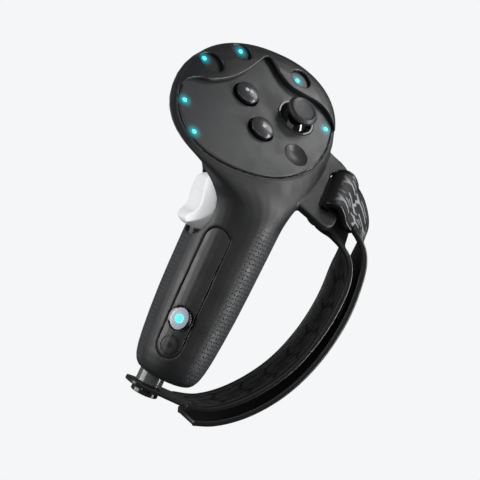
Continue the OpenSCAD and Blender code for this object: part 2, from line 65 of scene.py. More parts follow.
# The visor's rounded edge: distance in from the rim, and height of its top above the face
CROWN = [(0, 0.0), (0.4, 0.7), (1.0, 1.15), (2.0, 1.6), (4.0, 2.05), (7.0, 2.4), (11.0, 2.65), (17.0, 2.8)]
CROWN_FOOT = 0.2
# Tracking lights: x, y and height in the face frame
LIGHTS = [(-36.4, -16, 0), (-29.8, -30.6, 0), (34, 8.2, 0), (-30.8, 12.2, 0.75), (-13.8, 27.4, 0.75),
          (16.6, 27.8, 0.75)]


def face_to_part(x, y, z):
    """A point of the face frame, in mm, as a point of the part."""
    return FACE_C + FACE_ROT @ np.array([x, y, z], float)


def by_slot(p, z):
    """A point p mm across the strap slot from its middle, z mm above the face."""
    return face_to_part(SLOT_C[0] + p * math.cos(SLOT_TURN), SLOT_C[1] + p * math.sin(SLOT_TURN), z)


# ---------------------------------------------------------------- meshes
def link(name, mesh, material, body, stands_for=()):
    """A piece that rides on a CAD body and takes its finish from a material slot."""
    piece = bpy.data.objects.new(name, mesh)
    bpy.context.scene.collection.objects.link(piece)
    piece.data.materials.clear()
    piece.data.materials.append(material)
    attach(piece, body)
    if stands_for:
        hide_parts(*stands_for)
    return piece


def build_mesh(name, points, faces, place=Matrix.Identity(4)):
    """A smooth mesh from points in mm."""
    mesh = bpy.data.meshes.new(name)
    mesh.from_pydata([tuple(c * MM for c in p) for p in points], [], faces)
    mesh.transform(place)
    mesh.shade_smooth()
    return mesh


def evaluated(piece):
    """A piece's mesh with its modifiers applied."""
    graph = bpy.context.evaluated_depsgraph_get()
    return bpy.data.meshes.new_from_object(piece.evaluated_get(graph), depsgraph=graph)


def oval_radius(x, y):
    """Size of the rim's oval that passes through points in the face's plane."""
    x, y = x - OVAL_C[0], y - OVAL_C[1]
    span = RIM_R * RIM_R - SKEW * SKEW
    a, b = (x * RIM_R - y * SKEW) / span, (y * RIM_R - x * SKEW) / span
    return RIM_R * (np.abs(a) ** SQUARENESS + np.abs(b) ** SQUARENESS) ** (1 / SQUARENESS)


def crowned(mesh):
    """Lowers the visor's top towards the rim, so that its edge rolls over into the cover's side."""
    points = np.empty(len(mesh.vertices) * 3)
    mesh.vertices.foreach_get("co", points)
    local = (points.reshape(-1, 3) / MM - FACE_C) @ FACE_ROT
    inset = RIM_R - oval_radius(local[:, 0], local[:, 1])
    top = np.interp(inset, [c[0] for c in CROWN], [c[1] for c in CROWN])
    full = CROWN[-1][1]
    height = local[:, 2]
    share = np.clip((height - CROWN_FOOT) / (full - CROWN_FOOT), 0, 1)
    local[:, 2] = np.minimum(height, full) - share * (full - top)
    mesh.vertices.foreach_set("co", ((local @ FACE_ROT.T + FACE_C) * MM).ravel())
    mesh.update()
    return mesh


# Where keep_rim's smoothing fades out: from this height above the face, over this distance, to this share
RIM_FROM, RIM_OVER, RIM_KEPT = -3.2, 2, 0.93


def remeshed(node, voxel, rounds, keep_rim=False):
    """A CAD node's shape as one fine, evenly rounded mesh. voxel in mm.
    keep_rim leaves the edge round the face plate nearly sharp."""
    work = bpy.data.objects.new("work", nodes[node].data.copy())
    bpy.context.scene.collection.objects.link(work)
    work.modifiers.new("weld", "WELD").merge_threshold = 1e-6
    cells = work.modifiers.new("cells", "REMESH")
    cells.mode = "VOXEL"
    cells.voxel_size = voxel * MM
    if keep_rim:
        fine = evaluated(work)
        work.modifiers.clear()
        work.data = fine
        points = np.empty(len(fine.vertices) * 3)
        fine.vertices.foreach_get("co", points)
        height = (points.reshape(-1, 3) / MM - FACE_C) @ FACE_ROT[:, 2]
        group = work.vertex_groups.new(name="soft")
        for index, share in enumerate(1 - RIM_KEPT * eased((height - RIM_FROM) / RIM_OVER)):
            group.add([index], share, "REPLACE")
    relax = work.modifiers.new("relax", "SMOOTH")
    relax.iterations = rounds
    relax.factor = 0.5
    if keep_rim:
        relax.vertex_group = "soft"
    mesh = evaluated(work)
    bpy.data.objects.remove(work)
    mesh.shade_smooth()
    return mesh


def lathe(name, profile, at, base=0.0, segments=96, ripple=None, shell=False):
    """A turned solid round the face's normal at (x, y), from (radius, height) points in mm.
    ripple(radius, height, turn) may move a radius. A shell's profile is a closed loop off the axis."""
    rings = []
    for r, z in profile:
        for i in range(segments):
            t = 2 * math.pi * i / segments
            rr = r if ripple is None else r + ripple(r, z, t)
            rings.append((at[0] + rr * math.cos(t), at[1] + rr * math.sin(t), base + z))
    faces = []
    for k in range(len(profile) if shell else len(profile) - 1):
        for i in range(segments):
            j = (i + 1) % segments
            low, high = k * segments, (k + 1) % len(profile) * segments
            faces.append((low + i, low + j, high + j, high + i))
    if not shell:
        last = (len(profile) - 1) * segments
        faces.append(tuple(reversed(range(segments))))
        faces.append(tuple(last + i for i in range(segments)))
    return build_mesh(name, rings, faces, FACE)


def rounded(corners, radius=0.25, steps=4):
    """A profile whose inner corners are rounded by a small arc."""
    out = [corners[0]]
    for a, b, c in zip(corners, corners[1:], corners[2:]):
        a, b, c = np.array(a, float), np.array(b, float), np.array(c, float)
        cut = min(radius, np.linalg.norm(a - b) * 0.45, np.linalg.norm(c - b) * 0.45)
        p, q = b + unit(a - b) * cut, b + unit(c - b) * cut
        for s in range(steps + 1):
            t = s / steps
            out.append(tuple((1 - t) ** 2 * p + 2 * t * (1 - t) * b + t * t * q))
    out.append(corners[-1])
    return out


# ---------------------------------------------------------------- strap bands
# Middle lines, and the stretch of points over which each band turns from upright to the slot's direction
INNER_LINE = [(TAB_END - 0.3, 0, -53.5), (22, 0, -50.6), (32, 0, -43.6), (41.5, 0, -33), (49, 0, -20.5),
              (54, 0, -6), (56.4, 0, 8.5), (56.4, 0, 22), (53.8, 0.5, 33.5), (48, 2.4, 42.5),
              (41, 5.6, 48.2), by_slot(0, -15.5), by_slot(0, -9.5), by_slot(0, -4)]
OUTER_LINE = [by_slot(0, -3.7), by_slot(0.2, -2.9), by_slot(1.9, -1.2), by_slot(4.8, -0.8),
              by_slot(8, -2.6), by_slot(11.2, -5.6), (52, 1.2, 52.6), (57.8, 0.4, 45), (61, 0, 35.4),
              (62.4, 0, 22), (62.4, 0, 9), (60.6, 0, -5), (57, 0, -18), (51.5, 0, -30),
              (44.2, 0, -40.6), (35.4, 0, -49.4), (26, 0, -55.6), (17.5, 0, -58.6)]
INNER_TURN, OUTER_TURN = (6.8, 10), (10.5, 5)
SLOT_DIR = FACE_ROT @ np.array([-math.sin(SLOT_TURN), math.cos(SLOT_TURN), 0])


def along(rows, u):
    """Point u of a Catmull-Rom curve through rows."""
    last = len(rows) - 1
    i = min(int(u), last - 1)
    t = u - i
    a, b, c, d = (np.array(rows[k], float) for k in (max(i - 1, 0), i, i + 1, min(i + 2, last)))
    square, cube = 2 * a - 5 * b + 4 * c - d, 3 * b - a - 3 * c + d
    return 0.5 * (2 * b + (c - a) * t + square * t * t + cube * t ** 3)


def unit(v):
    return v / np.linalg.norm(v)


def eased(v):
    """v held between 0 and 1, with soft ends."""
    c = np.clip(v, 0, 1)
    return c * c * (3 - 2 * c)


def band_frames(line, turn, step):
    """Places every step mm along a band's middle line: distance, point, across and out."""
    last = len(line) - 1
    us = np.linspace(0, last, last * 60 + 1)
    points = np.array([along(line, u) for u in us])
    walked = np.concatenate([[0], np.cumsum(np.linalg.norm(np.diff(points, axis=0), axis=1))])
    out = []
    for s in np.linspace(0, walked[-1], int(walked[-1] / step) + 1):
        u = float(np.interp(s, walked, us))
        tangent = unit(along(line, min(u + 0.05, last)) - along(line, max(u - 0.05, 0)))
        share = eased((u - turn[0]) / (turn[1] - turn[0]))
        raw = (1 - share) * np.array([0, 1, 0]) + share * SLOT_DIR
        across = unit(raw - tangent * (raw @ tangent))
        out.append((s, along(line, u), across, np.cross(tangent, across)))
    return out


def stroke(px, py, ax, ay, bx, by, half):
    """Signed distance, in mm, from points to a round-ended stroke."""
    dx, dy = bx - ax, by - ay
    t = np.clip(((px - ax) * dx + (py - ay) * dy) / (dx * dx + dy * dy), 0, 1)
    return np.hypot(px - ax - t * dx, py - ay - t * dy) - half


TREAD_ROWS, TREAD_PITCH = 6.0, 13.5
# One Y-shaped sipe and the two short ones beside it: from x, y to x, y, and half its width
SIPES = [(-5.8, 0.2, 0.8, 0.2, 0.5), (0.8, 0.2, 3.4, 2.2, 0.72), (0.8, 0.2, 3.4, -1.7, 0.72),
         (-4.6, -2.2, -0.4, -2.2, 0.28), (3.4, -1.7, 5.6, -1.7, 0.34)]
SIPE_EDGE = 0.35


def tread(s, a):
    """How deep the tread's sipes are at s mm along and a mm across, from 0 to 1."""
    depth = np.zeros(np.broadcast(s, a).shape)
    for row in (-1, 0, 1):
        flip = -1 if row % 2 else 1
        x = (s + (0 if row % 2 else TREAD_PITCH / 2)) % TREAD_PITCH - TREAD_PITCH / 2
        y = (a - row * TREAD_ROWS) * flip
        x = x * flip
        d = np.minimum.reduce([stroke(x, y, *sipe) for sipe in SIPES])
        depth = np.maximum(depth, np.clip(0.5 - d / SIPE_EDGE, 0, 1))
    return depth


WELT_W, WELT_H = 2.1, 0.3


def strap_band(name, line, turn, thick, tread_from, tread_to, tread_depth, step=0.33):
    """A strap with rounded edges, a raised welt along both sides and a tread on its outer face.
    tread_from and tread_to say over which part of its length the tread runs, in mm."""
    half_w, half_t = STRAP_W / 2, thick / 2
    corner = min(0.9, half_t * 0.62)
    flat = np.linspace(-(half_w - corner), half_w - corner, 70)
    turns = [(corner * math.sin(t), corner * math.cos(t)) for t in np.linspace(0, math.pi / 2, 5)[1:-1]]
    side, top = half_w - corner, half_t - corner
    section = [(a, half_t) for a in flat]
    section += [(side + p, top + q) for p, q in turns] + [(half_w, top), (half_w, -top)]
    section += [(side + q, -top - p) for p, q in turns] + [(a, -half_t) for a in flat[::-4]]
    section += [(-side - p, -top - q) for p, q in turns] + [(-half_w, -top), (-half_w, top)]
    section += [(-side - q, top + p) for p, q in turns]
    section = np.array(section)
    n = len(section)
    on_face = (section[:, 1] > half_t - 1e-6) & (np.abs(section[:, 0]) < half_w - corner - 0.1)
    welt = np.clip((np.abs(section[:, 0]) - (half_w - WELT_W)) / 0.5, 0, 1)
    points, marks, places = [], [], []
    for s, p, across, out in band_frames(line, turn, step):
        mark = np.where(on_face, tread(s, section[:, 0]), 0)
        mark *= float(np.clip((s - tread_from) / 3, 0, 1) * np.clip((tread_to - s) / 3, 0, 1))
        mark *= np.clip((half_w - WELT_W - 0.2 - np.abs(section[:, 0])) / 0.4, 0, 1)
        sink = np.where(on_face, WELT_H * (1 - welt) + tread_depth * mark, 0)
        points.append(p + np.outer(section[:, 0], across) + np.outer(section[:, 1] - sink, out))
        marks.append(mark)
        places.append(np.stack([np.full(n, s), section[:, 0], section[:, 1]], axis=1))
    count = len(points)
    rows = np.arange(count - 1)[:, None] * n
    cols = np.arange(n)[None, :]
    ahead = (cols + 1) % n
    quads = np.stack([rows + cols, rows + n + cols, rows + n + ahead, rows + ahead], axis=-1)
    faces = [tuple(q) for q in quads.reshape(-1, 4).tolist()]
    faces.append(tuple(range(n)))
    faces.append(tuple(range(count * n - 1, (count - 1) * n - 1, -1)))
    mesh = build_mesh(name, np.concatenate(points).tolist(), faces)
    marks, places = (np.concatenate(rows).astype(np.float32) for rows in (marks, places))
    mesh.attributes.new("tread", "FLOAT", "POINT").data.foreach_set("value", marks)
    mesh.attributes.new("place", "FLOAT_VECTOR", "POINT").data.foreach_set("vector", places.ravel())
    return mesh


# ---------------------------------------------------------------- materials
class Shader:
    """A material's node tree with short calls for the nodes that this file uses."""

    def __init__(self, name, material=None):
        self.material = material or bpy.data.materials.new(name)
        self.material.use_nodes = True
        self.tree = self.material.node_tree
        self.out = self.tree.nodes["Principled BSDF"]
        self.where = self.node("ShaderNodeTexCoord").outputs["Object"]

    def node(self, kind, **settings):
        made = self.tree.nodes.new(kind)
        for key, value in settings.items():
            setattr(made, key, value)
        return made

    def feed(self, socket, value):
        if isinstance(value, bpy.types.NodeSocket):
            self.tree.links.new(value, socket)
        else:
            socket.default_value = value

    def maths(self, operation, a, b=0.0, c=0.0):
        made = self.node("ShaderNodeMath", operation=operation)
        for socket, value in zip(made.inputs, (a, b, c)):
            self.feed(socket, value)
        return made.outputs[0]

    def span(self, value, low, high, to_low=0.0, to_high=1.0, shape="SMOOTHSTEP"):
        made = self.node("ShaderNodeMapRange", interpolation_type=shape)
        keys = ("Value", "From Min", "From Max", "To Min", "To Max")
        for key, number in zip(keys, (value, low, high, to_low, to_high)):
            self.feed(made.inputs[key], number)
        return made.outputs["Result"]

    def noise(self, scale, detail=3.0, stretch=None):
        """Noise with features of 1 / scale metres."""
        made = self.node("ShaderNodeTexNoise")
        made.inputs["Scale"].default_value = scale
        made.inputs["Detail"].default_value = detail
        where = self.where
        if stretch is not None:
            pull = self.node("ShaderNodeMapping")
            pull.inputs["Scale"].default_value = stretch
            self.tree.links.new(where, pull.inputs["Vector"])
            where = pull.outputs["Vector"]
        self.tree.links.new(where, made.inputs["Vector"])
        return made.outputs["Fac"]

    def mix(self, share, first, second):
        made = self.node("ShaderNodeMix", data_type="RGBA")
        self.feed(made.inputs["Factor"], share)
        self.feed(made.inputs[6], first)
        self.feed(made.inputs[7], second)
        return made.outputs[2]

    def bump(self, height, depth, before=None):
        """Bump of depth mm from a height of 0 to 1."""
        made = self.node("ShaderNodeBump")
        made.inputs["Distance"].default_value = depth * MM
        made.inputs["Strength"].default_value = 1.0
        self.tree.links.new(height, made.inputs["Height"])
        if before is not None:
            self.tree.links.new(before, made.inputs["Normal"])
        return made.outputs["Normal"]

    def finish(self, colour, rough, normal=None, metal=0.0, coat=0.0, specular=0.5):
        self.feed(self.out.inputs["Base Color"], colour)
        self.feed(self.out.inputs["Roughness"], rough)
        self.out.inputs["Metallic"].default_value = metal
        self.out.inputs["Coat Weight"].default_value = coat
        self.out.inputs["Coat Roughness"].default_value = 0.08
        self.out.inputs["Specular IOR Level"].default_value = specular
        if normal is not None:
            self.tree.links.new(normal, self.out.inputs["Normal"])
        return self.material


def shade(colour, times):
    return tuple(c * times for c in colour) + (1.0,)


def plain_plastic(name, colour, rough, grain=900, depth=0.012, vary=0.12, coat=0.0):
    """Moulded plastic or rubber: a fine grain, faint cloudiness, and handling marks in the gloss."""
    s = Shader(name)
    cloud = s.noise(60, 4)
    fine = s.noise(grain, 2)
    tone = s.mix(s.span(cloud, 0.3, 0.7), shade(colour, 1 - vary), shade(colour, 1 + vary))
    gloss = s.span(s.noise(140, 5), 0.3, 0.75, rough * 0.86, min(rough * 1.18, 1))
    return s.finish(tone, gloss, s.bump(fine, depth), coat=coat)


def brushed_metal(name, colour, rough):
    s = Shader(name)
    lines = s.noise(500, 3, stretch=(1, 1, 12))
    tone = s.mix(lines, shade(colour, 0.85), shade(colour, 1.1))
    gloss = s.span(lines, 0.3, 0.7, rough * 0.8, rough * 1.3)
    return s.finish(tone, gloss, s.bump(lines, 0.008), metal=1.0)


def cover_rubber():
    """Soft-touch rubber with a woven relief of dashes on the grip, away from the smooth panel. On the grip the
    dash hollows are painted nearly black as painted shade, and the ground between them is painted lighter as a
    painted sheen.
    """
    s = Shader("cover_rubber")
    split = s.node("ShaderNodeSeparateXYZ")
    s.tree.links.new(s.where, split.inputs[0])
    x, y, z = (s.maths("MULTIPLY", split.outputs[k], 1 / MM) for k in range(3))
    # Cells of one dash each, leaning left and right by turns
    cells_round, pitch, half_dash = 64, 1.85, 0.42
    u = s.maths("MULTIPLY", s.maths("ARCTAN2", y, x), cells_round / (2 * math.pi))
    v = s.maths("DIVIDE", z, pitch)
    parity = s.maths("FLOORED_MODULO", s.maths("ADD", s.maths("FLOOR", u), s.maths("FLOOR", v)), 2.0)
    side = s.maths("SUBTRACT", s.maths("MULTIPLY", parity, 2.0), 1.0)
    a = s.maths("SUBTRACT", s.maths("FRACT", u), 0.5)
    b = s.maths("SUBTRACT", s.maths("FRACT", v), 0.5)
    sb = s.maths("MULTIPLY", s.maths("MULTIPLY", side, b), 1.25)
    run = s.maths("ABSOLUTE", s.maths("ADD", a, sb))
    off = s.maths("ABSOLUTE", s.maths("SUBTRACT", a, sb))
    reach = s.maths("MAXIMUM", s.maths("SUBTRACT", run, half_dash), 0.0)
    d = s.maths("SQRT", s.maths("ADD", s.maths("MULTIPLY", reach, reach), s.maths("MULTIPLY", off, off)))
    dash = s.span(d, 0.12, 0.24, 1.0, 0.0)
    round_axis = s.maths("SQRT", s.maths("ADD", s.maths("MULTIPLY", x, x), s.maths("MULTIPLY", y, y)))
    # The smooth panel's middle lies a little to the right of the inlay's
    panel = INLAY_TURN + 0.1
    towards = s.maths("ADD", s.maths("MULTIPLY", x, math.cos(panel)), s.maths("MULTIPLY", y, math.sin(panel)))
    facing = s.maths("DIVIDE", towards, round_axis)
    sides = s.span(facing, 0.60, 0.80, 1.0, 0.0)
    top = s.span(z, 24.0, 34.0, 1.0, 0.0)
    foot = s.span(z, -44.5, -42.5)
    zone = s.maths("MULTIPLY", sides, s.maths("MULTIPLY", top, foot))
    hole_and_painted_shade = s.maths("MULTIPLY", dash, zone)
    base = (0.0155, 0.016, 0.0172)
    cloud = s.mix(s.span(s.noise(45, 4), 0.3, 0.7), shade(base, 0.9), shade(base, 1.1))
    # Painted sheen: the grip's ground between the dashes is painted 2.6 times lighter
    sheen_painted_ground = s.mix(zone, cloud, shade(base, 2.6))
    # Painted shade: the dash hollows are painted nearly black
    tone = s.mix(hole_and_painted_shade, sheen_painted_ground, shade(base, 0.02))
    fine = s.noise(2600, 2)
    gloss = s.span(s.noise(120, 5), 0.3, 0.75, 0.42, 0.56)
    rough = s.maths("ADD", gloss, s.maths("MULTIPLY", hole_and_painted_shade, 0.3))
    hollow = s.maths("SUBTRACT", 1.0, hole_and_painted_shade)
    normal = s.bump(hollow, 0.12, s.bump(fine, 0.012))
    return s.finish(tone, rough, normal, specular=0.45)


def strap_rubber(name, ground, mark, rough):
    """Strap with a fine grain, sipes in the mark's colour where the tread is cut, and glossy welts."""
    s = Shader(name)
    cut = s.node("ShaderNodeAttribute", attribute_name="tread").outputs["Fac"]
    place = s.node("ShaderNodeAttribute", attribute_name="place").outputs["Vector"]
    split = s.node("ShaderNodeSeparateXYZ")
    s.tree.links.new(place, split.inputs[0])
    welt = STRAP_W / 2 - WELT_W
    edge = s.span(s.maths("ABSOLUTE", split.outputs[1]), welt - 0.2, welt + 0.2)
    grain = s.noise(1500, 3)
    tone = s.mix(s.span(grain, 0.35, 0.65), shade(ground, 0.75), shade(ground, 1.3))
    tone = s.mix(cut, tone, shade(mark, 1.0))
    tone = s.mix(edge, tone, shade((0.006, 0.006, 0.007), 1.0))
    gloss = s.span(edge, 0.0, 1.0, rough, 0.3)
    return s.finish(tone, gloss, s.bump(grain, 0.03))


def add_painted_glow(material, places, strength=0.9, reach=5.0, colour=(0.01, 0.62, 0.72, 1.0)):
    """Painted glow: emission in the plastic round lit lenses at places, standing in for their light spreading
    through it.
    """
    s = Shader("halo", material)
    total = None
    for place in places:
        gap = s.node("ShaderNodeVectorMath", operation="DISTANCE")
        s.tree.links.new(s.where, gap.inputs[0])
        gap.inputs[1].default_value = Vector(place)
        near = s.maths("POWER", s.span(gap.outputs["Value"], 0.0, reach * MM, 1.0, 0.0, "LINEAR"), 2.4)
        total = near if total is None else s.maths("ADD", total, near)
    glow = s.mix(s.maths("MINIMUM", total, 1.0), (0.0, 0.0, 0.0, 1.0), colour)
    s.tree.links.new(glow, s.out.inputs["Emission Color"])
    s.out.inputs["Emission Strength"].default_value = strength


def light_dot(name, colour, strength):
    """A lit lens with a faint grain in its glow."""
    s = Shader(name)
    glow = s.mix(s.noise(700, 2), shade(colour, 0.9), shade(colour, 1.0))
    s.tree.links.new(glow, s.out.inputs["Emission Color"])
    s.out.inputs["Emission Strength"].default_value = strength
    return s.finish(glow, s.span(s.noise(300, 2), 0.3, 0.7, 0.2, 0.3))


def circuit_board():
    """Green solder mask with copper runs under it and tinned pads."""
    s = Shader("circuit_board")
    runs = s.node("ShaderNodeTexVoronoi", feature="DISTANCE_TO_EDGE", distance="MANHATTAN")
    runs.inputs["Scale"].default_value = 420
    s.tree.links.new(s.where, runs.inputs["Vector"])
    line = s.span(runs.outputs["Distance"], 0.03, 0.07, 1.0, 0.0)
    pads = s.node("ShaderNodeTexVoronoi")
    pads.inputs["Scale"].default_value = 260
    s.tree.links.new(s.where, pads.inputs["Vector"])
    pad = s.span(pads.outputs["Distance"], 0.12, 0.16, 1.0, 0.0)
    tone = s.mix(line, shade((0.008, 0.10, 0.045), 1), shade((0.02, 0.19, 0.085), 1))
    tone = s.mix(pad, tone, shade((0.62, 0.6, 0.52), 1))
    height = s.maths("MAXIMUM", line, pad)
    return s.finish(tone, s.span(s.noise(200), 0.3, 0.7, 0.22, 0.34), s.bump(height, 0.03))


def cell_wrap():
    """Printed film on the battery cell: dark body, copper-coloured end band, no lettering."""
    s = Shader("cell_wrap")
    split = s.node("ShaderNodeSeparateXYZ")
    s.tree.links.new(s.where, split.inputs[0])
    band = s.span(split.outputs[2], -0.0005, 0.0, shape="LINEAR")
    tone = s.mix(band, shade((0.012, 0.014, 0.018), 1), shade((0.55, 0.27, 0.09), 1))
    scuffs = s.noise(260, 5)
    return s.finish(tone, s.span(scuffs, 0.3, 0.7, 0.16, 0.3), s.bump(scuffs, 0.01), metal=0.3)


cover_mat = cover_rubber()
inlay_mat = plain_plastic("inlay_plastic", (0.026, 0.0265, 0.028), 0.42, grain=2200)
mark_mat = plain_plastic("mark_grey", (0.012, 0.012, 0.013), 0.35, grain=2200)
visor_mat = plain_plastic("visor_plastic", (0.022, 0.0225, 0.024), 0.33, grain=2600, depth=0.006, coat=0.1)
face_mat = plain_plastic("face_plastic", (0.040, 0.041, 0.043), 0.40, grain=1700, depth=0.022)
recess_mat = plain_plastic("recess_plastic", (0.022, 0.0225, 0.024), 0.3, grain=1600, depth=0.006)
gloss_black = plain_plastic("gloss_black", (0.004, 0.004, 0.005), 0.07, grain=300, depth=0.001, coat=0.5)
cyan_mat = light_dot("led_cyan", (0.02, 0.85, 0.95), 6.0)
silver_mat = plain_plastic("window_silver", (0.52, 0.56, 0.62), 0.2, grain=1200, depth=0.004, coat=0.4)
white_mat = plain_plastic("white_plastic", (0.86, 0.87, 0.88), 0.34, grain=2400, depth=0.006, vary=0.02)
frame_mat = plain_plastic("frame_plastic", (0.6, 0.61, 0.63), 0.5, vary=0.04)
chip_mat = plain_plastic("chip_black", (0.02, 0.02, 0.022), 0.45, grain=1400, depth=0.02)
steel_mat = brushed_metal("steel", (0.6, 0.61, 0.63), 0.3)
brass_mat = brushed_metal("contact_brass", (0.75, 0.58, 0.28), 0.28)
flex_mat = plain_plastic("flex_amber", (0.42, 0.17, 0.03), 0.3, grain=500, depth=0.01)
ring_mat = plain_plastic("ring_gloss", (0.05, 0.051, 0.054), 0.16, coat=0.3, depth=0.003)
stick_mat = plain_plastic("stick_rubber", (0.055, 0.056, 0.059), 0.5, grain=2300, depth=0.02)
rim_mat = plain_plastic("stick_rim", (0.028, 0.0285, 0.030), 0.42, grain=2300, depth=0.02)
button_mat = plain_plastic("button_grey", (0.055, 0.056, 0.059), 0.26, grain=900, depth=0.003, coat=0.2)
dot_mat = plain_plastic("button_dot", (0.62, 0.63, 0.65), 0.4)
plug_mat = plain_plastic("plug_grey", (0.085, 0.087, 0.09), 0.2, depth=0.004, coat=0.3)
stud_mat = plain_plastic("stud_black", (0.012, 0.012, 0.014), 0.2, depth=0.004, coat=0.2)
tab_mat = plain_plastic("strap_black", (0.009, 0.009, 0.010), 0.32, grain=1500, depth=0.01)
inner_mat = strap_rubber("strap_grey", (0.042, 0.043, 0.045), (0.001, 0.001, 0.0012), 0.5)
outer_mat = strap_rubber("strap_print", (0.010, 0.010, 0.011), (0.30, 0.305, 0.315), 0.5)
board_mat = circuit_board()
# Painted glow round the tracking lights, in the face, visor and recess plastic
for look in (face_mat, visor_mat, recess_mat):
    add_painted_glow(look, [face_to_part(*light) * MM for light in LIGHTS])
wrap_mat = cell_wrap()

CAD_LOOKS = {
    white_mat: ["body_shell_left", "body_shell_right"],
    frame_mat: ["board_frame"],
    board_mat: ["main_board"],
    chip_mat: ["board_chips", "tact_switches", "stick_yoke", "stick_hub"],
    steel_mat: ["board_screws", "haptic_motor", "stick_base", "stick_shaft", "grip_trigger_frame",
                "grip_trigger_pin", "grip_trigger_spring", "index_trigger_frame", "index_trigger_pin",
                "index_trigger_spring", "battery_spring"],
    brass_mat: ["battery_contact"],
    flex_mat: ["led_flex"],
    wrap_mat: ["battery_cell"],
    ring_mat: ["stick_socket_ring"],
    cyan_mat: ["tracking_leds"],
    recess_mat: ["sensor_windows"],
    tab_mat: ["strap_lock_tab"],
    plug_mat: ["base_plug"],
    stud_mat: ["strap_stud"],
    mark_mat: ["hand_mark"],
}
for look, names in CAD_LOOKS.items():
    for name in names:
        nodes[name].data.materials.clear()
        nodes[name].data.materials.append(look)

# ---------------------------------------------------------------- pieces
SKINS = [
    # node, voxel in mm, smoothing rounds, material, body, slot
    ("grip_cover", 0.45, 18, cover_mat, "root", "cover_rubber"),
    ("handle_inlay", 0.22, 40, inlay_mat, "root", "inlay_plastic"),
    ("visor", 0.3, 7, visor_mat, "root", "visor_plastic"),
    ("face_plate", 0.3, 3, face_mat, "root", "face_plastic"),
    ("grip_trigger", 0.3, 8, white_mat, "grip_trigger", "white_plastic"),
    ("index_trigger", 0.3, 14, white_mat, "index_trigger", "white_plastic"),
    ("strap_tab", 0.3, 4, tab_mat, "root", "strap_black"),
]
for node, voxel, rounds, look, body, slot in SKINS:
    mesh = remeshed(node, voxel, rounds, node == "grip_cover")
    link(node + "_skin", crowned(mesh) if node == "visor" else mesh, look, body, [node])

inner = strap_band("strap_inner", INNER_LINE, INNER_TURN, INNER_T, tread_from=2, tread_to=112, tread_depth=0.45)
link("strap_inner", inner, inner_mat, "root", ["strap_inner_band"])
outer = strap_band("strap_outer", OUTER_LINE, OUTER_TURN, OUTER_T, tread_from=3, tread_to=62, tread_depth=0.25)
link("strap_outer", outer, outer_mat, "root", ["strap_outer_band"])


# A turned profile starts and ends this far from its axis, in mm
AXIS = 0.01
STEM_R, FLANGE_LOW, FLANGE_TOP, FLANGE_PAST = 1.6, -3, -2.1, 0.9


def button_mesh(name, at, cap_r, well_r, stem_end, top):
    """Stem, flange and cap of a button. top is the cap's profile from its edge to its middle."""
    flange_r = well_r + FLANGE_PAST
    under = [(AXIS, stem_end), (STEM_R, stem_end), (STEM_R, FLANGE_LOW), (flange_r, FLANGE_LOW),
             (flange_r, FLANGE_TOP), (cap_r, FLANGE_TOP)]
    return lathe(name, rounded(under + top, 0.3), at)


def dome(radius, height, low, steps=10):
    """Shallow domed top from the edge at low up to height in the middle."""
    return [(radius * math.cos(t), low + (height - low) * math.sin(t))
            for t in np.linspace(0, math.pi / 2 * 0.98, steps)]


def second_look(mesh, look, chosen):
    """Gives another material to the faces whose middle, in mm in the face frame, is chosen."""
    mesh.materials.append(look)
    back = FACE.inverted()
    for face in mesh.polygons:
        middle = back @ face.center / MM
        if chosen(middle):
            face.material_index = len(mesh.materials) - 1


CAP_EDGE, CAP_TOP = 1.6, 3.0
CAP = dome(BUTTON_R, CAP_TOP, CAP_EDGE) + [(AXIS, CAP_TOP)]
DOT_R, DOT_EDGE, DOT_TOP, DOT_APART = 0.95, 3.04, 3.1, 1.1
DOT = rounded([(AXIS, 2.6), (DOT_R, 2.6), (DOT_R, DOT_EDGE), (AXIS, DOT_TOP)], 0.08)
for name, at, dots in (("button_a", BUTTON_A_AT, [0]), ("button_b", BUTTON_B_AT, [-DOT_APART, DOT_APART])):
    mesh = button_mesh(name + "_cap", at, BUTTON_R, WELL_R, -4.2, CAP)
    link(name + "_cap", mesh, button_mat, name, [name])
    second_look(mesh, gloss_black, lambda p: p.z < CAP_EDGE + 0.15)
    for index, dx in enumerate(dots):
        dot = lathe("dot", DOT, (at[0] + dx, at[1]))
        link(f"{name}_dot_{index + 1}", dot, dot_mat, name)

MENU_EDGE, MENU_DEEP = -0.1, 1.4
HOLLOW = [(MENU_R * r, MENU_EDGE - MENU_DEEP * (1 - r * r)) for r in (1, 0.94, 0.85, 0.72, 0.55, 0.35, 0.15)]
mesh = button_mesh("menu_cap", MENU_AT, MENU_R, MENU_R, -4.7, HOLLOW + [(AXIS, MENU_EDGE - MENU_DEEP)])
link("menu_cap", mesh, face_mat, "menu_button", ["menu_button"])

# The stick's dome, and its cap with a knurled side and a rounded edge round the hollow top
DOME_T = 0.8
arc = np.linspace(math.radians(18), math.radians(73), 24)
outside = [(DOME_R * math.cos(t), DOME_R * math.sin(t)) for t in arc]
inside = [((DOME_R - DOME_T) * math.cos(t), (DOME_R - DOME_T) * math.sin(t)) for t in arc[::-1]]
dome_mesh = lathe("stick_dome_shell", outside + inside, STICK_AT, PIVOT_Z, shell=True)
link("stick_dome_shell", dome_mesh, gloss_black, "stick", ["stick_dome"])
KNURL_RIBS, KNURL_DEPTH = 56, 0.09


def knurl(r, z, turn):
    """Fine upright ribs on the cap's side."""
    if r < STICK_R - 0.3 or not 4.6 < z < 6.6:
        return 0.0
    return KNURL_DEPTH * math.cos(turn * KNURL_RIBS)


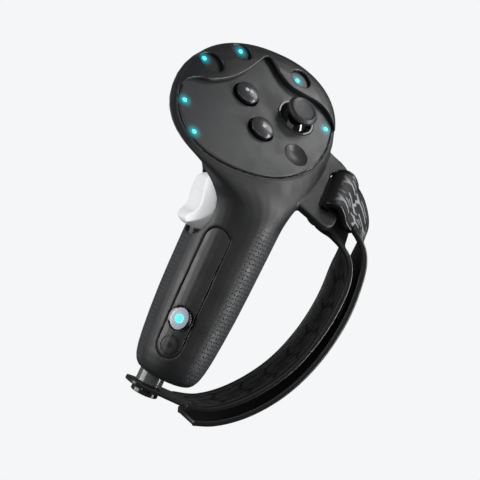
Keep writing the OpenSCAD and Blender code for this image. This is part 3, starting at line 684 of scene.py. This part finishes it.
CAP_PROFILE = [(AXIS, 2.05), (2.8, 2.05), (3.2, 4.2), (STICK_R - 0.9, 4.2), (STICK_R - 0.1, 4.9),
               (STICK_R - 0.1, 5.3), (STICK_R - 0.1, 5.8), (STICK_R - 0.5, 6.4), (STICK_R - 1.0, 6.95),
               (STICK_R - 1.6, 7.18), (STICK_R - 2.1, 6.85), (STICK_R - 2.6, 6.6), (3.2, 6.35), (1.6, 6.22),
               (AXIS, 6.15)]
cap_mesh = lathe("stick_cap_knurled", rounded(CAP_PROFILE, 0.28), STICK_AT, segments=448, ripple=knurl)
link("stick_cap_knurled", cap_mesh, stick_mat, "stick", ["stick_cap"])
middle = Vector((STICK_AT[0], STICK_AT[1], 0))
second_look(cap_mesh, rim_mat, lambda p: (p - middle).xy.length > STICK_R - 1.35 or p.z < 6)


def turned_in_place(node, name, profile):
    """A turned piece on the axis of a short round CAD node, and the middle of its top.
    The profile's heights are measured from that top."""
    points = np.array([v.co for v in nodes[node].data.vertices])
    centre = (points.min(axis=0) + points.max(axis=0)) / 2
    axis = np.linalg.svd(points - points.mean(axis=0))[2][-1]
    # The inlay faces the back of the handle, towards -Y
    if axis[1] > 0:
        axis = -axis
    top = ((points - centre) @ axis).max()
    turn = Vector((0, 0, 1)).rotation_difference(Vector(axis)).to_matrix().to_4x4()
    place = Matrix.Translation(Vector(centre + axis * top)) @ turn
    mesh = lathe(name, profile, (0, 0))
    mesh.transform(place @ FACE.inverted())
    return mesh, centre + axis * top


# The window: an oval silver face in a black surround, with a well for the lit lens
WINDOW_R, WINDOW_WIDE, WINDOW_HIGH = 5.1, 3.9, 4.75
face_rings = [(r, -0.05 - 0.5 * (r / WINDOW_R) ** 4) for r in np.arange(5.0, 1.7, -0.1)]
WINDOW_PROFILE = ([(AXIS, -2.7), (WINDOW_R, -2.7), (WINDOW_R, -0.85)] + face_rings
                  + [(1.65, -0.2), (1.62, -0.45), (1.6, -1.0), (AXIS, -1.0)])
window_mesh, window_at = turned_in_place("status_window", "status_window_turned", WINDOW_PROFILE)
link("status_window_turned", window_mesh, silver_mat, "root", ["status_window"])
window_mesh.materials.append(gloss_black)
sideways = Vector((-math.sin(INLAY_TURN), math.cos(INLAY_TURN), 0))
for face in window_mesh.polygons:
    away = (face.center - Vector(window_at)) / MM
    if (away.dot(sideways) / WINDOW_WIDE) ** 2 + (away.z / WINDOW_HIGH) ** 2 > 1:
        face.material_index = 1
LENS_PROFILE = [(AXIS, -0.9), (1.45, -0.9), (1.45, -0.35), (1.2, -0.12), (0.7, -0.03), (AXIS, 0.0)]
lens_mesh, lens_at = turned_in_place("status_led", "status_led_lens", LENS_PROFILE)
link("status_led_lens", lens_mesh, cyan_mat, "root", ["status_led"])
# Painted glow round the status lens, in the window's silver face
add_painted_glow(silver_mat, [lens_at], 1.5, 3.6, (0.02, 0.72, 0.98, 1.0))

# ---------------------------------------------------------------- stage, light and camera
BACKGROUND = (0.915, 0.922, 0.930)


def emission(name, colour):
    """A surface that shows one colour whatever light falls on it."""
    made = bpy.data.materials.new(name)
    made.use_nodes = True
    tree = made.node_tree
    tree.nodes.clear()
    glow = tree.nodes.new("ShaderNodeEmission")
    glow.inputs["Color"].default_value = colour + (1.0,)
    end = tree.nodes.new("ShaderNodeOutputMaterial")
    tree.links.new(glow.outputs[0], end.inputs[0])
    return made


def stage_piece(name, maker, material, **sizes):
    """A piece of the studio that casts no light or shadow on the part."""
    maker(**sizes)
    piece = bpy.context.object
    piece.name = name
    piece.data.materials.append(material)
    piece.visible_diffuse = piece.visible_glossy = piece.visible_shadow = False
    return piece


pale = emission("pale", BACKGROUND)
stage_piece("backdrop", bpy.ops.mesh.primitive_uv_sphere_add, pale, radius=6, segments=64, ring_count=32)
stage_piece("floor", bpy.ops.mesh.primitive_circle_add, pale, radius=5.5, vertices=96, fill_type="NGON",
            location=(0, 0, -0.42))

world = bpy.data.worlds.new("studio")
bpy.context.scene.world = world
world.use_nodes = True
world.node_tree.nodes["Background"].inputs["Color"].default_value = (0.95, 0.97, 1.0, 1.0)
world.node_tree.nodes["Background"].inputs["Strength"].default_value = 0.09

# The camera looks level and is rolled, so that the handle leans. It looks at aim, in metres
AZIMUTH, ROLL, DISTANCE = math.radians(-21), math.radians(25.2), 0.650
ahead = Vector((-math.sin(AZIMUTH), math.cos(AZIMUTH), 0))
level = Vector((math.cos(AZIMUTH), math.sin(AZIMUTH), 0))
right = math.cos(ROLL) * level + math.sin(ROLL) * Vector((0, 0, 1))
up = -math.sin(ROLL) * level + math.cos(ROLL) * Vector((0, 0, 1))
aim = Vector((0.012, 0.006, 0.020)) - 0.00308 * right + 0.00264 * up
view_axes = Matrix((right, up, -ahead)).transposed().to_4x4()
camera = bpy.data.objects.new("camera", bpy.data.cameras.new("camera"))
bpy.context.scene.collection.objects.link(camera)
bpy.context.scene.camera = camera
camera.data.lens = 110.8
camera.data.sensor_width = 36
camera.data.clip_start, camera.data.clip_end = 0.05, 30
camera.matrix_world = Matrix.Translation(aim - ahead * DISTANCE) @ view_axes


def softbox(name, towards, distance, size, power, aim_at=aim):
    """A soft area light. towards is (right, up, back) in the camera's axes; sizes in metres, power in watts."""
    data = bpy.data.lights.new(name, "AREA")
    data.shape = "RECTANGLE"
    data.size, data.size_y = size
    data.energy = power
    lamp = bpy.data.objects.new(name, data)
    bpy.context.scene.collection.objects.link(lamp)
    way = (towards[0] * right + towards[1] * up - towards[2] * ahead).normalized()
    lamp.location = aim_at + way * distance
    lamp.rotation_mode = "QUATERNION"
    lamp.rotation_quaternion = (-way).to_track_quat("-Z", "Y")
    return lamp


softbox("key", (-0.9, 0.35, 0.45), 0.6, (0.4, 0.4), 2.6)
softbox("right_rim", (1.0, -0.15, 0.12), 0.45, (0.08, 0.6), 2.6)
softbox("left_rim", (-1.0, 0.5, 0.1), 0.5, (0.08, 0.5), 0.7)
softbox("fill", (0.3, 0.2, 1.0), 0.9, (0.7, 0.7), 1.2)

# The face's own light stands where the plate's right-hand side mirrors it
GLINT_AT, GLINT_DISTANCE = (36, 2, 0), 0.20
glint = Vector(face_to_part(*GLINT_AT) * MM)
seen_from = (camera.location - glint).normalized()
normal = Vector(FACE_ROT[:, 2])
mirrored = 2 * normal.dot(seen_from) * normal - seen_from
axes = (right.dot(mirrored), up.dot(mirrored), -ahead.dot(mirrored))
softbox("face_light", axes, GLINT_DISTANCE, (0.07, 0.10), 0.10, glint)

bpy.context.scene.view_settings.view_transform = "Standard"
